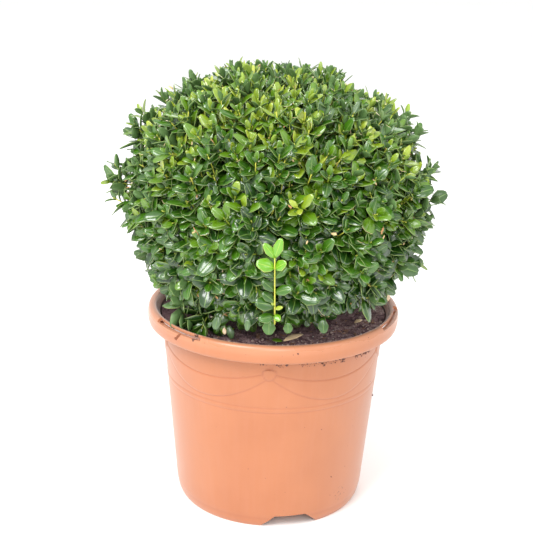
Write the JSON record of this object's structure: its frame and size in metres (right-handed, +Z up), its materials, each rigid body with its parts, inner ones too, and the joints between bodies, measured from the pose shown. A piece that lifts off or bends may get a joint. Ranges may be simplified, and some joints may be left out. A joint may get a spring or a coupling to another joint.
{
  "type": "potted box topiary ball",
  "caption": "Clipped evergreen ball on a short stem, growing in a round moulded container with soil, a rolled rim, hand grips and a notched foot.",
  "frame": {"origin": "on the ground under the middle of the container's foot, below the middle of the whole plant", "axes": "+Z up along the container's axis; -Y is the side that carries the bright young shoot and one of the festoon's knots; +X to the right of that side"},
  "size_m": [0.3716, 0.3704, 0.5282],
  "materials": {
    "pot": "satin",
    "soil": "matte",
    "stem": "matte",
    "foliage_ball": "satin"
  },
  "bodies": {
    "root": {"pot": "pot", "soil": "soil", "stem": "stem", "foliage_ball": "foliage_ball"}
  },
  "joints": []
}
